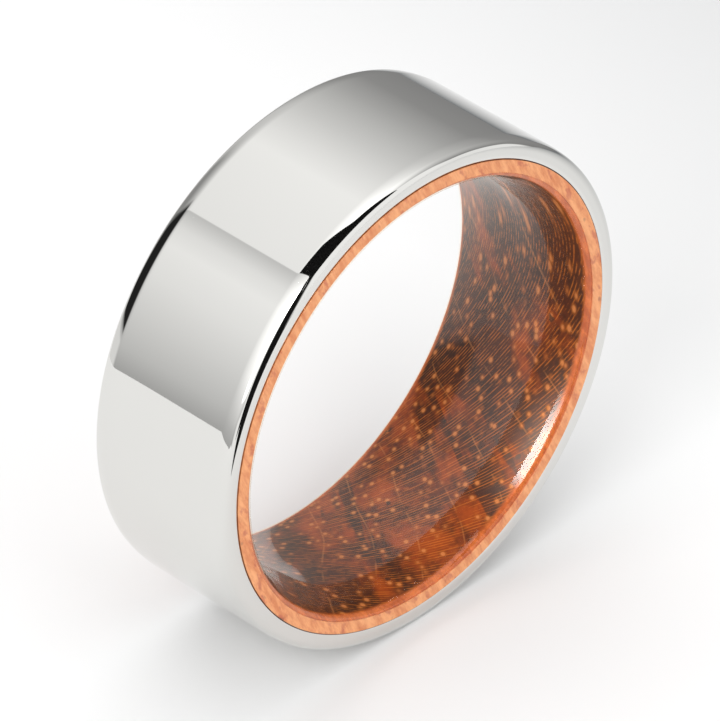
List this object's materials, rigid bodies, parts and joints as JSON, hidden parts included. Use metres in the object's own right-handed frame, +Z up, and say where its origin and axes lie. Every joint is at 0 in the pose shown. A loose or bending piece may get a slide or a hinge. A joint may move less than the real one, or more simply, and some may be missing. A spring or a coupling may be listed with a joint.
{
  "type": "wedding band",
  "caption": "Flat polished metal finger ring with rounded edges, lined with a comfort-fit hardwood sleeve under a clear gloss finish.",
  "frame": {"origin": "centre of the ring, on its axis and halfway across its width", "axes": "+Y along the ring's axis, away from the front end face; +Z up, with the ring standing on its rim; +X across"},
  "size_m": [0.0247, 0.008, 0.0248],
  "materials": {
    "band_metal": "mirror polished",
    "adhesive": "cured, dark",
    "sleeve_wood": "turned and fine sanded",
    "clear_finish": "clear gloss film"
  },
  "bodies": {
    "root": {"metal_band": "band_metal", "adhesive_layer": "adhesive", "wood_sleeve": "sleeve_wood", "clear_coat": "clear_finish"}
  },
  "joints": []
}
